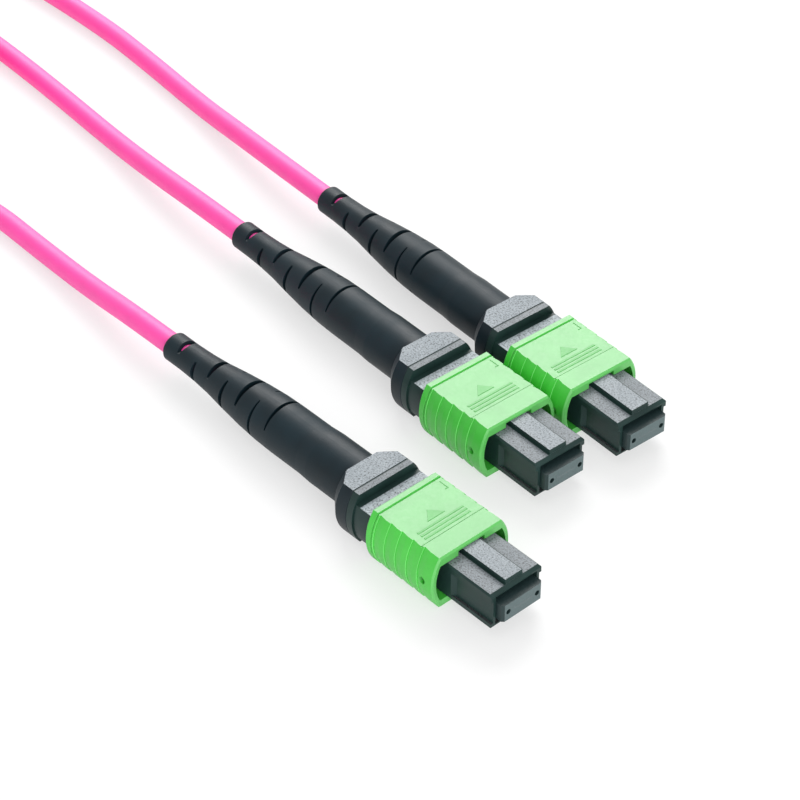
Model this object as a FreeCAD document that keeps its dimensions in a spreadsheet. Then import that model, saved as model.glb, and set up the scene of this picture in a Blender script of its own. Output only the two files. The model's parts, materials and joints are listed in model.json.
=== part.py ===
import FreeCAD, Part
import math
import os
from types import SimpleNamespace

import Sketcher
from FreeCAD import Placement, Rotation, Vector

# Fibre breakout cable: one trunk plug, two branch plugs, a splitter and three cords.
# Each connector lies along its own X axis: x = 0 is the front face of its coupling sleeve.
# The origin of the part is the middle of the trunk sleeve's bottom face.

SIZES = {
    # coupling sleeve
    "sleeve_length": 11.7, "sleeve_height": 7.8, "sleeve_flat": 9.9, "sleeve_width": 12.5,
    "sleeve_wall": 0.65, "sleeve_bore_height": 5.4, "notch_width": 4.2, "notch_top": 3.42,
    "rim_round": 0.22, "ridge_length": 0.95, "groove_width": 0.26, "groove_depth": 0.24,
    "panel_front": 3.2, "panel_depth": 0.1, "grip_pitch": 1.9, "grip_first": 2.75,
    "grip_depth": 0.13, "grip_slope": 1.5, "dot_dia": 1.0, "sleeve_travel": 2.0,
    # plug housing
    "nose_reach": 7.55, "nose_width": 8.0, "nose_height": 5.2, "nose_bevel_length": 0.45,
    "nose_bevel_drop": 0.3, "nose_edge": 0.22, "key_width": 2.7, "key_top": 3.3, "key_setback": 0.5,
    "channel_depth": 0.34, "channel_low": 1.8, "channel_high": 1.6, "mouth_width": 6.56,
    "mouth_height": 4.2, "mouth_depth": 3.65, "partition": 1.0, "bay_width": 6.9,
    # ferrule and what rides with it
    "ferrule_width": 6.4, "ferrule_height": 2.5, "ferrule_reach": 8.65, "ferrule_flange": 2.15,
    "guide_spacing": 4.6, "guide_dia": 0.7, "ferrule_chamfer": 0.3, "boot_pocket": 2.4,
    "keeper_length": 2.0, "ribbon_width": 3.1, "ribbon_thickness": 0.3,
    # springs
    "push_wire": 0.55, "push_turns": 3.0, "return_wire": 0.26, "return_dia": 1.25,
    "return_turns": 3.5, "return_offset": 4.8,
    # back body, crimp ring and strain-relief boot
    "neck_width": 10.8, "neck_height": 5.0, "flange_length": 1.0, "collar_flat": 8.7,
    "collar_height": 7.5, "collar_width": 11.25, "collar_length": 3.4, "collar_tail": 4.35,
    "post_dia": 4.5, "post_length": 6.8, "post_bore": 2.6, "crimp_dia": 5.6,
    "boot_head": 7.25, "boot_waist": 7.0, "boot_length": 36.2, "boot_skin": 1.0, "slot_width": 0.6,
    "collar_seam": 0.13,
    # cords, their coils and the splitter
    "cable_dia": 3.0, "trunk_coil_radius": 17.4, "leg_coil_radius": 14.5, "strap": 0.75,
    "strap_angle": 26.0, "splitter_length": 26.0, "splitter_width": 14.0,
    "splitter_height": 8.6, "splitter_wall": 1.4, "port_spacing": 6.0, "gland_length": 5.5,
    # where the branch connectors lie, with their yaw in degrees
    "branch_1_x": -12.665, "branch_1_y": 20.0, "branch_1_yaw": -2.04,
    "branch_2_x": -11.095, "branch_2_y": 32.85, "branch_2_yaw": -3.15,
}

doc = FreeCAD.newDocument("breakout")
sheet = doc.addObject("Spreadsheet::Sheet", "Sizes")
for row, (alias, number) in enumerate(SIZES.items(), 1):
    sheet.set(f"A{row}", alias)
    sheet.set(f"B{row}", str(number))
    sheet.setAlias(f"B{row}", alias)
doc.recompute()


class Size:
    """A number together with the sheet expression that gives it."""

    def __init__(self, value, text=None):
        self.value = float(value)
        self.text = text or repr(float(value))

    def join(self, other, sign, work, swap=False):
        other = other if isinstance(other, Size) else Size(other)
        first, second = (other, self) if swap else (self, other)
        return Size(work(first.value, second.value), f"(({first.text}) {sign} ({second.text}))")

    def __add__(self, other):
        return self.join(other, "+", lambda a, b: a + b)

    def __radd__(self, other):
        return self.join(other, "+", lambda a, b: a + b, True)

    def __sub__(self, other):
        return self.join(other, "-", lambda a, b: a - b)

    def __rsub__(self, other):
        return self.join(other, "-", lambda a, b: a - b, True)

    def __mul__(self, other):
        return self.join(other, "*", lambda a, b: a * b)

    def __rmul__(self, other):
        return self.join(other, "*", lambda a, b: a * b, True)

    def __truediv__(self, other):
        return self.join(other, "/", lambda a, b: a / b)

    def __neg__(self):
        return self * -1

    def root(self):
        return Size(math.sqrt(self.value), f"sqrt({self.text})")


def as_size(number):
    return number if isinstance(number, Size) else Size(number)


S = SimpleNamespace(**{name: Size(sheet.get(name), f"Sizes.{name}") for name in SIZES})

# Stations along a connector, measured from the front face of its sleeve.
tail_x = -(S.sleeve_length - 1.7)
flange_x = -(S.sleeve_length + 3)
collar_x = flange_x - S.flange_length
collar_end = collar_x - S.collar_length
boot_end = collar_end - S.boot_length
bay_x = S.nose_reach - S.mouth_depth - S.partition
ferrule_rear = bay_x - 0.1 - S.ferrule_flange
keeper_rear = ferrule_rear - S.keeper_length
seat_x = tail_x + 1.5
post_end = collar_x - S.post_length
axis_height = S.sleeve_height / 2
lug_rear = tail_x + 5.0


def plane(body, role):
    return next(f for f in body.Origin.OriginFeatures if f.Role == role)


def new_body(label, pose):
    """A body standing at a pose given as x, y, z and yaw."""
    body = doc.addObject("PartDesign::Body", label)
    body.Label = label
    x, y, z, yaw = (as_size(number) for number in pose)
    body.Placement = Placement(Vector(x.value, y.value, z.value), Rotation(Vector(0, 0, 1), yaw.value))
    for axis, number in zip("xyz", (x, y, z)):
        body.setExpression(f"Placement.Base.{axis}", number.text)
    body.setExpression("Placement.Rotation.Angle", f"({yaw.text}) * 1 deg")
    return body


def sketch_on(body, role, offset=0.0):
    sketch = body.newObject("Sketcher::SketchObject", "sketch")
    sketch.AttachmentSupport = (plane(body, role), [""])
    sketch.MapMode = "FlatFace"
    offset = as_size(offset)
    sketch.AttachmentOffset = Placement(Vector(0, 0, offset.value), Rotation())
    sketch.setExpression("AttachmentOffset.Base.z", offset.text)
    return sketch


def fix_point(sketch, geometry, end, point):
    for kind, number in zip(("DistanceX", "DistanceY"), point):
        if number is not None:
            number = as_size(number)
            index = sketch.addConstraint(Sketcher.Constraint(kind, -1, 1, geometry, end, number.value))
            sketch.setExpression(f"Constraints[{index}]", number.text)


def loop(sketch, points, centres=None):
    """A closed outline; a side named in centres is an arc about that first coordinate."""
    centres = centres or {}
    first = sketch.GeometryCount
    count = len(points)
    flat = [Vector(as_size(a).value, as_size(b).value, 0) for a, b in points]
    for side in range(count):
        start, end = flat[side], flat[(side + 1) % count]
        if side in centres:
            centre = Vector(as_size(centres[side]).value, (start.y + end.y) / 2, 0)
            reach = (start - centre).Length * (1 if start.x > centre.x else -1)
            sketch.addGeometry(Part.Arc(start, centre + Vector(reach, 0, 0), end))
        else:
            sketch.addGeometry(Part.LineSegment(start, end))
    for side in range(count):
        after = first + (side + 1) % count
        sketch.addConstraint(Sketcher.Constraint("Coincident", first + side, 2, after, 1))
    for side, point in enumerate(points):
        fix_point(sketch, first + side, 1, point)
        if side in centres:
            fix_point(sketch, first + side, 3, (centres[side], None))


def box_loop(sketch, low_x, high_x, low_y, high_y):
    loop(sketch, [(low_x, low_y), (high_x, low_y), (high_x, high_y), (low_x, high_y)])


def barrel_centre(flat, tall, wide):
    """Centre of the side arc of a section with half sizes flat, tall and wide."""
    bulge = wide - flat
    return wide - (bulge * bulge + tall * tall) / (2 * bulge)


def barrel_loop(sketch, flat, tall, wide):
    centre = barrel_centre(flat, tall, wide)
    corners = [(flat, -tall), (flat, tall), (-flat, tall), (-flat, -tall)]
    loop(sketch, corners, {0: centre, 2: -centre})


def circle_loop(sketch, across, up, radius):
    across, up, radius = as_size(across), as_size(up), as_size(radius)
    centre = Vector(across.value, up.value, 0)
    geometry = sketch.addGeometry(Part.Circle(centre, Vector(0, 0, 1), radius.value))
    fix_point(sketch, geometry, 3, (across, up))
    index = sketch.addConstraint(Sketcher.Constraint("Radius", geometry, radius.value))
    sketch.setExpression(f"Constraints[{index}]", radius.text)


def feature(body, kind, sketch):
    made = body.newObject(f"PartDesign::{kind}", kind.lower())
    made.Profile = sketch
    sketch.Visibility = False
    return made


def pad(body, sketch, length, symmetric=False, backward=False):
    made = feature(body, "Pad", sketch)
    length = as_size(length)
    made.Length = length.value
    made.setExpression("Length", length.text)
    made.SideType = "Symmetric" if symmetric else "One side"
    made.Reversed = backward
    doc.recompute()
    return made


def cut(body, sketch, length=None, forward=False):
    """A pocket of a given length, or through everything both ways."""
    before = body.Shape.Volume
    made = feature(body, "Pocket", sketch)
    if length is None:
        made.Type = "ThroughAll"
        made.SideType = "Symmetric"
    else:
        length = as_size(length)
        made.Length = length.value
        made.setExpression("Length", length.text)
        made.Reversed = forward
    doc.recompute()
    if not body.Shape.Volume < before - 1e-6:
        raise RuntimeError(f"a cut in {body.Label} takes nothing away")
    return made


def turn(body, sketch, axis="H_Axis", groove=False):
    made = feature(body, "Groove" if groove else "Revolution", sketch)
    made.ReferenceAxis = (sketch, [axis])
    made.Angle = 360
    doc.recompute()
    return made


def mirror(body, features, role="XZ_Plane"):
    made = body.newObject("PartDesign::Mirrored", "mirrored")
    made.Originals = features
    made.MirrorPlane = (plane(body, role), [""])
    body.Tip = made
    doc.recompute()
    return made


def rim_edges(shape, stations):
    """Names of the edges that lie wholly at one of the given x stations."""
    names = []
    for number, edge in enumerate(shape.Edges, 1):
        box = edge.BoundBox
        if any(abs(box.XMin - x) < 1e-4 and abs(box.XMax - x) < 1e-4 for x in stations):
            names.append(f"Edge{number}")
    return names


def dress(body, kind, base, edges, size):
    made = body.newObject(f"PartDesign::{kind}", kind.lower())
    made.Base = (base, edges)
    prop = "Radius" if kind == "Fillet" else "Size"
    setattr(made, prop, size.value)
    made.setExpression(prop, size.text)
    doc.recompute()
    return made


def plain_block(label, pose, low_x, high_x, half_width, half_height):
    body = new_body(label, pose)
    sketch = sketch_on(body, "YZ_Plane", low_x)
    box_loop(sketch, -half_width, half_width, -half_height, half_height)
    pad(body, sketch, high_x - low_x)
    return body


def slot_through(body, low_x, length, half_width, half_height):
    """A straight window along the connector from low_x forward."""
    sketch = sketch_on(body, "YZ_Plane", low_x)
    box_loop(sketch, -half_width, half_width, -half_height, half_height)
    return cut(body, sketch, length, forward=True)


def coupling_sleeve(name, pose):
    body = new_body(f"{name}_coupling_sleeve", pose)
    flat, tall, wide = S.sleeve_flat / 2, S.sleeve_height / 2, S.sleeve_width / 2
    sketch = sketch_on(body, "YZ_Plane")
    barrel_loop(sketch, flat, tall, wide)
    shell = pad(body, sketch, S.sleeve_length, backward=True)
    ends = (0, -S.sleeve_length.value)
    dress(body, "Chamfer", shell, rim_edges(shell.Shape, ends), S.rim_round)
    # bore with the same side arcs, one wall further in, and the notch over the key
    centre = barrel_centre(flat, tall, wide)
    inner_tall = S.sleeve_bore_height / 2
    inner_radius = wide - centre - S.sleeve_wall
    inner_flat = centre + (inner_radius * inner_radius - inner_tall * inner_tall).root()
    sketch = sketch_on(body, "YZ_Plane")
    barrel_loop(sketch, inner_flat, inner_tall, wide - S.sleeve_wall)
    cut(body, sketch)
    sketch = sketch_on(body, "YZ_Plane")
    box_loop(sketch, -S.notch_width / 2, S.notch_width / 2, 0, S.notch_top)
    cut(body, sketch)
    # groove behind the rear ridge
    depth = S.groove_depth
    sketch = sketch_on(body, "YZ_Plane", S.ridge_length - S.sleeve_length)
    box_loop(sketch, -wide - 1, wide + 1, -tall - 1, tall + 1)
    barrel_loop(sketch, flat - depth / 2, tall - depth, wide - depth)
    cut(body, sketch, S.groove_width, forward=True)
    # sunk panel on top, with a fine groove along its front edge
    side = flat + 0.5
    for front, length, depth in ((S.panel_front, None, S.panel_depth), (S.panel_front - 0.15, 0.15, 0.2)):
        rear = S.ridge_length - S.sleeve_length if length is None else -front - length
        sketch = sketch_on(body, "XY_Plane", tall)
        box_loop(sketch, rear, -front, -side, side)
        cut(body, sketch, depth)
    # saw-tooth grip on the bulged sides, turned about each side arc's own centre
    for side in (1, -1):
        sketch = sketch_on(body, "XY_Plane")
        middle = centre * side
        ends = [Vector(x, middle.value, 0) for x in (-5, 0)]
        axis = sketch.addGeometry(Part.LineSegment(*ends), True)
        fix_point(sketch, axis, 1, (-5, middle))
        fix_point(sketch, axis, 2, (0, middle))
        low, crest = (wide - S.grip_depth) * side, (wide + 0.05) * side
        for tooth in range(5):
            x = -S.grip_first - S.grip_pitch * tooth
            loop(sketch, [(x, low), (x, crest), (x + S.grip_slope, crest)])
        turn(body, sketch, "Axis0", groove=True)
    # inner lugs that the return springs push
    sketch = sketch_on(body, "XY_Plane")
    box_loop(sketch, lug_rear, lug_rear + 0.8, S.nose_width / 2 + 0.25, wide - 0.3)
    lug = pad(body, sketch, 2.4, symmetric=True)
    mirror(body, [lug])
    # round window on the side of fibre one
    sketch = sketch_on(body, "XZ_Plane", wide + 0.2)
    circle_loop(sketch, -1.75, 0.15, S.dot_dia / 2)
    cut(body, sketch, S.sleeve_wall + 0.5)
    return body


def plug_housing(name, pose):
    half, tall, reach = S.nose_width / 2, S.nose_height / 2, S.nose_reach
    body = plain_block(f"{name}_plug_housing", pose, tail_x, reach, half, tall)
    block = body.Tip
    long_edges = [
        f"Edge{number}" for number, edge in enumerate(block.Shape.Edges, 1) if edge.BoundBox.XLength > 1
    ]
    dress(body, "Chamfer", block, long_edges, S.nose_edge)
    # polarity key along the top
    sketch = sketch_on(body, "XZ_Plane")
    front = reach - S.key_setback
    foot = front + 0.05
    loop(sketch, [(-4.0, tall - 0.3), (foot, tall - 0.3), (front, S.key_top), (-4.0, S.key_top)])
    pad(body, sketch, S.key_width, symmetric=True)
    # stops in front of the sleeve's lugs
    sketch = sketch_on(body, "XY_Plane")
    box_loop(sketch, lug_rear + 0.9, lug_rear + 1.7, half - 0.2, half + 0.7)
    stop = pad(body, sketch, 2.0, symmetric=True)
    mirror(body, [stop])
    # bevelled mouth, above and below
    sketch = sketch_on(body, "XZ_Plane")
    back, drop = reach - S.nose_bevel_length, tall - S.nose_bevel_drop
    for side in (1, -1):
        loop(sketch, [(back, tall * side), (reach + 0.01, drop * side), (reach + 0.01, (tall + 0.01) * side)])
    cut(body, sketch)
    # side channels that the adapter's hooks run in, ending in a ramp
    sketch = sketch_on(body, "XY_Plane", -S.channel_low)
    floor = half - S.channel_depth
    loop(sketch, [(reach + 0.1, floor), (reach + 0.1, half + 0.1), (0.6, half + 0.1), (1.5, floor)])
    channel = cut(body, sketch, S.channel_low + S.channel_high, forward=True)
    mirror(body, [channel])
    # mouth, partition window and spring bay
    slot_through(body, reach - S.mouth_depth, S.mouth_depth, S.mouth_width / 2, S.mouth_height / 2)
    slot_through(body, bay_x, S.partition, S.ferrule_width / 2 + 0.07, S.ferrule_height / 2 + 0.07)
    slot_through(body, tail_x, bay_x - tail_x, S.bay_width / 2, S.mouth_height / 2)
    return body


def ferrule(name, pose):
    half, tall = S.ferrule_width / 2, S.ferrule_height / 2
    body = plain_block(f"{name}_ferrule", pose, ferrule_rear, S.ferrule_reach, half, tall)
    block = body.Tip
    tip = S.ferrule_reach.value
    upright = [
        name for name in rim_edges(block.Shape, (tip,))
        if block.Shape.getElement(name).BoundBox.ZLength > 0.5
    ]
    dress(body, "Chamfer", block, upright, S.ferrule_chamfer)
    sketch = sketch_on(body, "YZ_Plane", ferrule_rear)
    box_loop(sketch, -half - 0.15, half + 0.15, -tall - 0.25, tall + 0.25)
    pad(body, sketch, S.ferrule_flange)
    sketch = sketch_on(body, "YZ_Plane", ferrule_rear)
    for side in (1, -1):
        circle_loop(sketch, S.guide_spacing / 2 * side, 0, S.guide_dia / 2)
    cut(body, sketch)
    slot_through(body, ferrule_rear, S.boot_pocket, S.ribbon_width / 2 + 0.2, 0.65)
    return body


def ferrule_boot(name, pose):
    low = keeper_rear - 1.6
    half = S.ribbon_width / 2
    body = plain_block(f"{name}_ferrule_boot", pose, low, ferrule_rear + S.boot_pocket - 0.3, half + 0.15, 0.6)
    slot_through(body, low, ferrule_rear + S.boot_pocket - 0.3 - low, half + 0.03, S.ribbon_thickness / 2 + 0.03)
    return body


def pin_keeper(name, pose):
    half = S.bay_width / 2 - 0.15
    body = plain_block(f"{name}_pin_keeper", pose, keeper_rear, ferrule_rear, half, S.mouth_height / 2 - 0.2)
    slot_through(body, keeper_rear, S.keeper_length, S.ribbon_width / 2 + 0.33, 0.63)
    return body


def fibre_ribbon(name, pose):
    half = S.ribbon_width / 2
    return plain_block(
        f"{name}_fibre_ribbon", pose, flange_x + 0.7, ferrule_rear + S.boot_pocket - 0.1,
        half, S.ribbon_thickness / 2,
    )


def back_body(name, pose):
    body = plain_block(
        f"{name}_back_body", pose, tail_x - 0.5, seat_x, S.bay_width / 2 - 0.05, S.mouth_height / 2 - 0.05)
    sketch = sketch_on(body, "YZ_Plane", flange_x)
    barrel_loop(sketch, S.neck_width / 2 - 0.5, S.neck_height / 2, S.neck_width / 2)
    pad(body, sketch, tail_x - flange_x)
    sketch = sketch_on(body, "YZ_Plane", collar_x)
    barrel_loop(sketch, S.collar_flat / 2, S.collar_height / 2, S.collar_width / 2)
    pad(body, sketch, S.flange_length)
    sketch = sketch_on(body, "YZ_Plane", collar_x)
    circle_loop(sketch, 0, 0, S.post_dia / 2)
    pad(body, sketch, S.post_length, backward=True)
    slot_through(body, flange_x - 0.5, seat_x - flange_x + 0.5, S.ribbon_width / 2 + 0.4, 0.9)
    sketch = sketch_on(body, "YZ_Plane", post_end)
    circle_loop(sketch, 0, 0, S.post_bore / 2)
    cut(body, sketch, flange_x - post_end, forward=True)
    return body


def crimp_ring(name, pose):
    body = new_body(f"{name}_crimp_ring", pose)
    front, step, rear = collar_x - 0.5, post_end - 0.3, post_end - 2.5
    outer, inner = S.crimp_dia / 2, S.post_dia / 2 + 0.2
    grip, skin = S.cable_dia / 2 + 0.02, S.cable_dia / 2 + 0.4
    sketch = sketch_on(body, "XZ_Plane")
    loop(sketch, [
        (front, inner), (front, outer), (step - 0.3, outer), (step - 0.8, skin),
        (rear, skin), (rear, grip), (step - 0.2, grip), (step + 0.3, inner),
    ])
    turn(body, sketch)
    return body


# Boot outline: how far along the taper, and how much of the narrowing is done there.
BOOT_TAPER = (
    (0.0, 0.0), (0.13, 0.05), (0.28, 0.21), (0.44, 0.47), (0.6, 0.78), (0.73, 0.93), (0.86, 1.0),
)
TAPER_START = 0.384
TOP_SLOTS = ((0.4, 0.9), (0.568, 1.45), (0.747, 1.5), (0.923, 1.85))
SIDE_SLOTS = ((0.483, 0.8), (0.656, 1.2), (0.831, 1.35))


def narrowing(place):
    """Share of its whole taper that the boot has lost at a place along it."""
    along = (place - TAPER_START) / (1 - TAPER_START)
    rows = [*BOOT_TAPER, (1.0, 1.0)]
    for (low, before), (high, after) in zip(rows, rows[1:]):
        if low <= along < high:
            return before + (after - before) * (along - low) / (high - low)
    return 0.0


def strain_boot(name, pose):
    body = new_body(f"{name}_strain_boot", pose)
    sketch = sketch_on(body, "YZ_Plane", collar_end)
    barrel_loop(sketch, S.collar_flat / 2, S.collar_height / 2, S.collar_width / 2)
    block = pad(body, sketch, S.collar_length)
    dress(body, "Chamfer", block, rim_edges(block.Shape, (collar_x.value,)), S.collar_seam)
    # the collar's rear corners are turned off to a cone
    corner = S.collar_tail + S.collar_length * 0.41
    sketch = sketch_on(body, "XZ_Plane")
    edge = collar_end + S.collar_length * 0.47
    wide = S.collar_width
    loop(sketch, [(collar_end - 0.1, S.collar_tail), (edge, corner), (edge, wide), (collar_end - 0.1, wide)])
    turn(body, sketch, groove=True)
    # tapering tail
    tail, head, waist = S.cable_dia / 2 + S.boot_skin / 2, S.boot_head / 2, S.boot_waist / 2
    taper_x = collar_end - S.boot_length * TAPER_START
    taper_length = taper_x - boot_end
    outline = [(collar_end + 1, 0), (collar_end + 1, head), (collar_end - S.boot_length * 0.177, head),
               (collar_end - S.boot_length * 0.232, waist)]
    for along, narrowed in BOOT_TAPER:
        outline.append((taper_x - taper_length * along, waist - (waist - tail) * narrowed))
    outline += [(boot_end + 0.2, tail), (boot_end, tail - 0.15), (boot_end, 0)]
    sketch = sketch_on(body, "XZ_Plane")
    loop(sketch, outline)
    turn(body, sketch)
    # bore for the cable, wider at the head for the crimp ring
    bore, room, room_end = S.cable_dia / 2 + 0.05, S.crimp_dia / 2 + 0.1, post_end - 2.8
    sketch = sketch_on(body, "XZ_Plane")
    loop(sketch, [(boot_end - 1, 0), (boot_end - 1, bore), (room_end, bore), (room_end, room),
                  (collar_x + 1, room), (collar_x + 1, 0)])
    turn(body, sketch, groove=True)
    # flexing slots, by turns across the top and bottom and across the sides, each a wedge down to the cord
    floor = S.cable_dia / 2 - 0.25
    for role, slots in (("XZ_Plane", TOP_SLOTS), ("XY_Plane", SIDE_SLOTS)):
        sketch = sketch_on(body, role)
        for place, width in slots:
            x = collar_end - S.boot_length * place
            half = S.slot_width * width / 2
            crown = waist - (waist - tail) * narrowing(place) + 0.2
            narrow = half * 0.35
            for side in (1, -1):
                loop(sketch, [(x - narrow, floor * side), (x + narrow, floor * side),
                              (x + half, crown * side), (x - half, crown * side)])
        cut(body, sketch)
    return body


def jacket_end(name, pose):
    body = new_body(f"{name}_jacket_end", pose)
    sketch = sketch_on(body, "YZ_Plane", boot_end)
    circle_loop(sketch, 0, 0, S.cable_dia / 2)
    pad(body, sketch, post_end - 0.1 - boot_end)
    return body


def swept(label, wire, radius):
    """A round section carried along a wire."""
    edge = wire.Edges[0]
    start = edge.valueAt(edge.FirstParameter)
    way = edge.tangentAt(edge.FirstParameter)
    section = Part.Face(Part.Wire(Part.Circle(start, way, radius).toShape()))
    made = doc.addObject("Part::Feature", label)
    made.Label = label
    made.Shape = wire.makePipe(section)
    return made


def spring(label, place, ends, halves, turns, wire, across=0.0):
    """A coil spring along X: flat-sided wire carried round an oval, twelve steps a turn."""
    low, high = ends
    count = int(round(turns * 12))
    path = []
    for step in range(count + 1):
        angle = math.pi * step / 6
        x = low + (high - low) * step / count
        path.append(Vector(x, across + halves[0] * math.cos(angle), halves[1] * math.sin(angle)))
    rings = []
    for step, point in enumerate(path):
        way = path[min(step + 1, count)] - path[max(step - 1, 0)]
        way.normalize()
        outward = Vector(0, point.y - across, point.z)
        side = way.cross(outward).normalize()
        outward = side.cross(way)
        corners = [(math.cos(math.radians(a)), math.sin(math.radians(a))) for a in range(0, 360, 72)]
        rings.append([point + outward * (wire / 2 * c) + side * (wire / 2 * s) for c, s in corners])
    faces = [Part.Face(Part.makePolygon(ring + ring[:1])) for ring in (rings[0], rings[-1])]
    for ring, after in zip(rings, rings[1:]):
        for this in range(5):
            other = (this + 1) % 5
            for corners in ([ring[this], ring[other], after[other]], [ring[this], after[other], after[this]]):
                faces.append(Part.Face(Part.makePolygon(corners + corners[:1])))
    made = doc.addObject("Part::Feature", label)
    made.Label = label
    made.Shape = Part.makeSolid(Part.makeShell(faces))
    made.Placement = place
    return made


def springs(name, pose):
    """The oval push spring behind the ferrule and the two return springs of the sleeve."""
    x, y, z, yaw = (as_size(number).value for number in pose)
    place = Placement(Vector(x, y, z), Rotation(Vector(0, 0, 1), yaw))
    wire = S.push_wire.value
    ends = (seat_x.value + wire / 2 + 0.02, keeper_rear.value - wire / 2 - 0.02)
    halves = ((S.bay_width.value - wire) / 2 - 0.3, (S.mouth_height.value - wire) / 2 - 0.2)
    made = [spring(f"{name}_ferrule_spring", place, ends, halves, S.push_turns.value, wire)]
    wire = S.return_wire.value
    ends = (tail_x.value + wire / 2 + 0.02, lug_rear.value - wire / 2 - 0.02)
    halves = ((S.return_dia.value - wire) / 2,) * 2
    for side, across in (("left", S.return_offset.value), ("right", -S.return_offset.value)):
        label = f"{name}_return_spring_{side}"
        made.append(spring(label, place, ends, halves, S.return_turns.value, wire, across))
    return made


PIECES = (
    coupling_sleeve, plug_housing, ferrule, ferrule_boot, pin_keeper, fibre_ribbon, back_body,
    crimp_ring, strain_boot, jacket_end,
)
POSES = {
    "trunk": (S.sleeve_length / 2, 0, axis_height, 0),
    "branch_1": (S.sleeve_length / 2 + S.branch_1_x, S.branch_1_y, axis_height, S.branch_1_yaw),
    "branch_2": (S.sleeve_length / 2 + S.branch_2_x, S.branch_2_y, axis_height, S.branch_2_yaw),
}

# Where the coils and the splitter lie: x behind the trunk boot's tail, then y.
radius = S.cable_dia.value / 2
height = axis_height.value
tail = POSES["trunk"][0].value + boot_end.value
layer = S.cable_dia.value + 0.1
lift = S.strap.value + radius + 0.05
trunk_lane = S.trunk_coil_radius.value
leg_lanes = (S.leg_coil_radius.value, S.leg_coil_radius.value + S.cable_dia.value + 0.2)
trunk_centre = (tail - 82.7, trunk_lane - 14.0)
leg_centre = (tail - 142.7, leg_lanes[0] + 2.5)
splitter_back = as_size(S.sleeve_length / 2 + boot_end - 122.7)
splitter_y = -17.2
port_height = S.splitter_height.value / 2
splitter_front = splitter_back.value + S.splitter_length.value / 2
splitter_rear = splitter_back.value - S.splitter_length.value / 2
gland = S.gland_length.value


def in_room(name, points):
    """Points given behind a connector's boot tail, moved to where that connector lies."""
    x, y, _, yaw = (as_size(number).value for number in POSES[name])
    cos, sin = math.cos(math.radians(yaw)), math.sin(math.radians(yaw))
    placed = []
    for back, across, up in points:
        along = boot_end.value - back
        placed.append((x + cos * along - sin * across, y + sin * along + cos * across, up))
    return placed


def on_lane(centre, lane, angle, up):
    """A point of a coil lane, its corner pushed out so that 30 degree runs touch the lane."""
    reach = lane / math.cos(math.radians(15))
    turned = math.radians(angle)
    return (centre[0] + reach * math.cos(turned), centre[1] + reach * math.sin(turned), up)


def corner_points(centre, lane, angles, ups):
    return [on_lane(centre, lane, angle, up) for angle, up in zip(angles, ups)]


# The cords sink from the boots to the surface and run to their coils.
trunk_lead = in_room("trunk", [
    (0, 0, height), (8.2, 0, height), (18.7, 0.75, 2.4), (31.2, 1.65, radius), (43.2, 2.1, radius),
    (53.2, 0.0, radius), (62.2, -5.2, radius), (71.2, -10.9, radius + 0.3), (79.7, -13.8, lift),
    (85.7, -14.0, lift),
])
leg_leads = (
    in_room("branch_1", [
        (0, 0, height), (8.2, 0, height), (20.7, 0.55, 2.9), (32.7, 1.75, radius + 0.1),
        (45.7, 2.55, radius), (60.7, 3.1, radius),
    ]) + [
        (leg_centre[0] + 46, 27.9, radius), (leg_centre[0] + 29, 29.0, radius),
        (leg_centre[0] + 13, leg_centre[1] + leg_lanes[0] - 0.6, lift),
        (leg_centre[0] - 2, leg_centre[1] + leg_lanes[0], lift),
    ],
    in_room("branch_2", [
        (0, 0, height), (8.2, 0, height), (20.7, 0.9, 2.9), (32.7, 2.0, radius + 0.1),
        (45.7, 2.9, radius), (60.7, 3.4, radius),
    ]) + [
        (leg_centre[0] + 44, 42.0, radius), (leg_centre[0] + 28, 39.0, radius),
        (leg_centre[0] + 13, leg_centre[1] + leg_lanes[1] + 0.7, lift),
        (leg_centre[0] - 2, leg_centre[1] + leg_lanes[1], lift),
    ],
)
# Each cord leaves the top of its coil and comes down to the splitter.
top = lift + 2 * layer
trunk_tail = [
    on_lane(trunk_centre, trunk_lane, angle, top) for angle in (15, -15)
] + [
    on_lane(trunk_centre, trunk_lane + 1.2, -45, top),
    (trunk_centre[0] + 5.2, splitter_y, top - 0.2), (trunk_centre[0] - 6, splitter_y, top - 0.9),
    (trunk_centre[0] - 15, splitter_y, port_height + 0.6),
    (splitter_front + gland + 2, splitter_y, port_height),
    (splitter_front - 2.5, splitter_y, port_height),
]
leg_tails = []
for number, (lane, level, port) in enumerate(zip(leg_lanes, (3, 2), (1, -1))):
    up = lift + level * layer
    port_y = splitter_y + S.port_spacing.value / 2 * port
    bend = 14.0 + (lane - leg_lanes[0])
    away = (leg_centre[0] - lane + bend, port_y + bend)
    falls = (up - 2.4, port_height + 1.6, port_height + 0.2)
    leg_tails.append(
        corner_points(leg_centre, lane, (75, 105, 135, 165), (up, up, up, up - 0.1))
        + corner_points(away, bend, (195, 225, 255), falls)
        + [(splitter_rear - 3.5, port_y, port_height), (splitter_rear + 2.5, port_y, port_height)]
    )


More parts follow.
